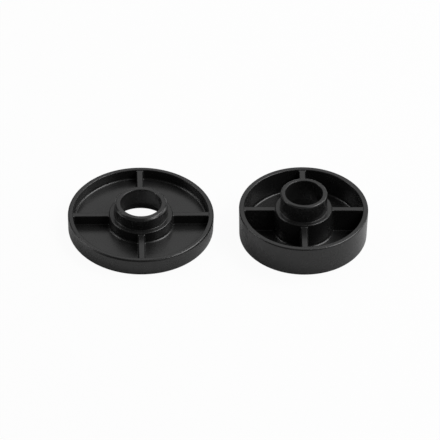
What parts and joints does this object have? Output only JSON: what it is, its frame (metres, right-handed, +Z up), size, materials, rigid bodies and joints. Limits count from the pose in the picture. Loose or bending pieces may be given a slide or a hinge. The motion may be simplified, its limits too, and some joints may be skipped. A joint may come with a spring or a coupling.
{
  "type": "furniture glide set",
  "caption": "Low and tall black plastic furniture glides: ribbed round dishes, each with a stepped hollow hub that plugs into a tubular leg.",
  "frame": {"origin": "centre of the pair's bounding box, on the surface that both glides stand on", "axes": "+X from the low glide to the tall one, +Y away from the side the picture was taken from, +Z up along both hubs"},
  "size_m": [0.123, 0.06, 0.0219],
  "materials": {
    "black_plastic": "moulded, fine satin"
  },
  "bodies": {
    "low_glide": {"low_glide": "black_plastic"},
    "tall_glide": {"tall_glide": "black_plastic"}
  },
  "joints": [
    {"name": "tall_glide_lift", "type": "slide", "parent": "low_glide", "child": "tall_glide", "axis": [0, 0, 1], "range_m": [0, 0.03]}
  ]
}
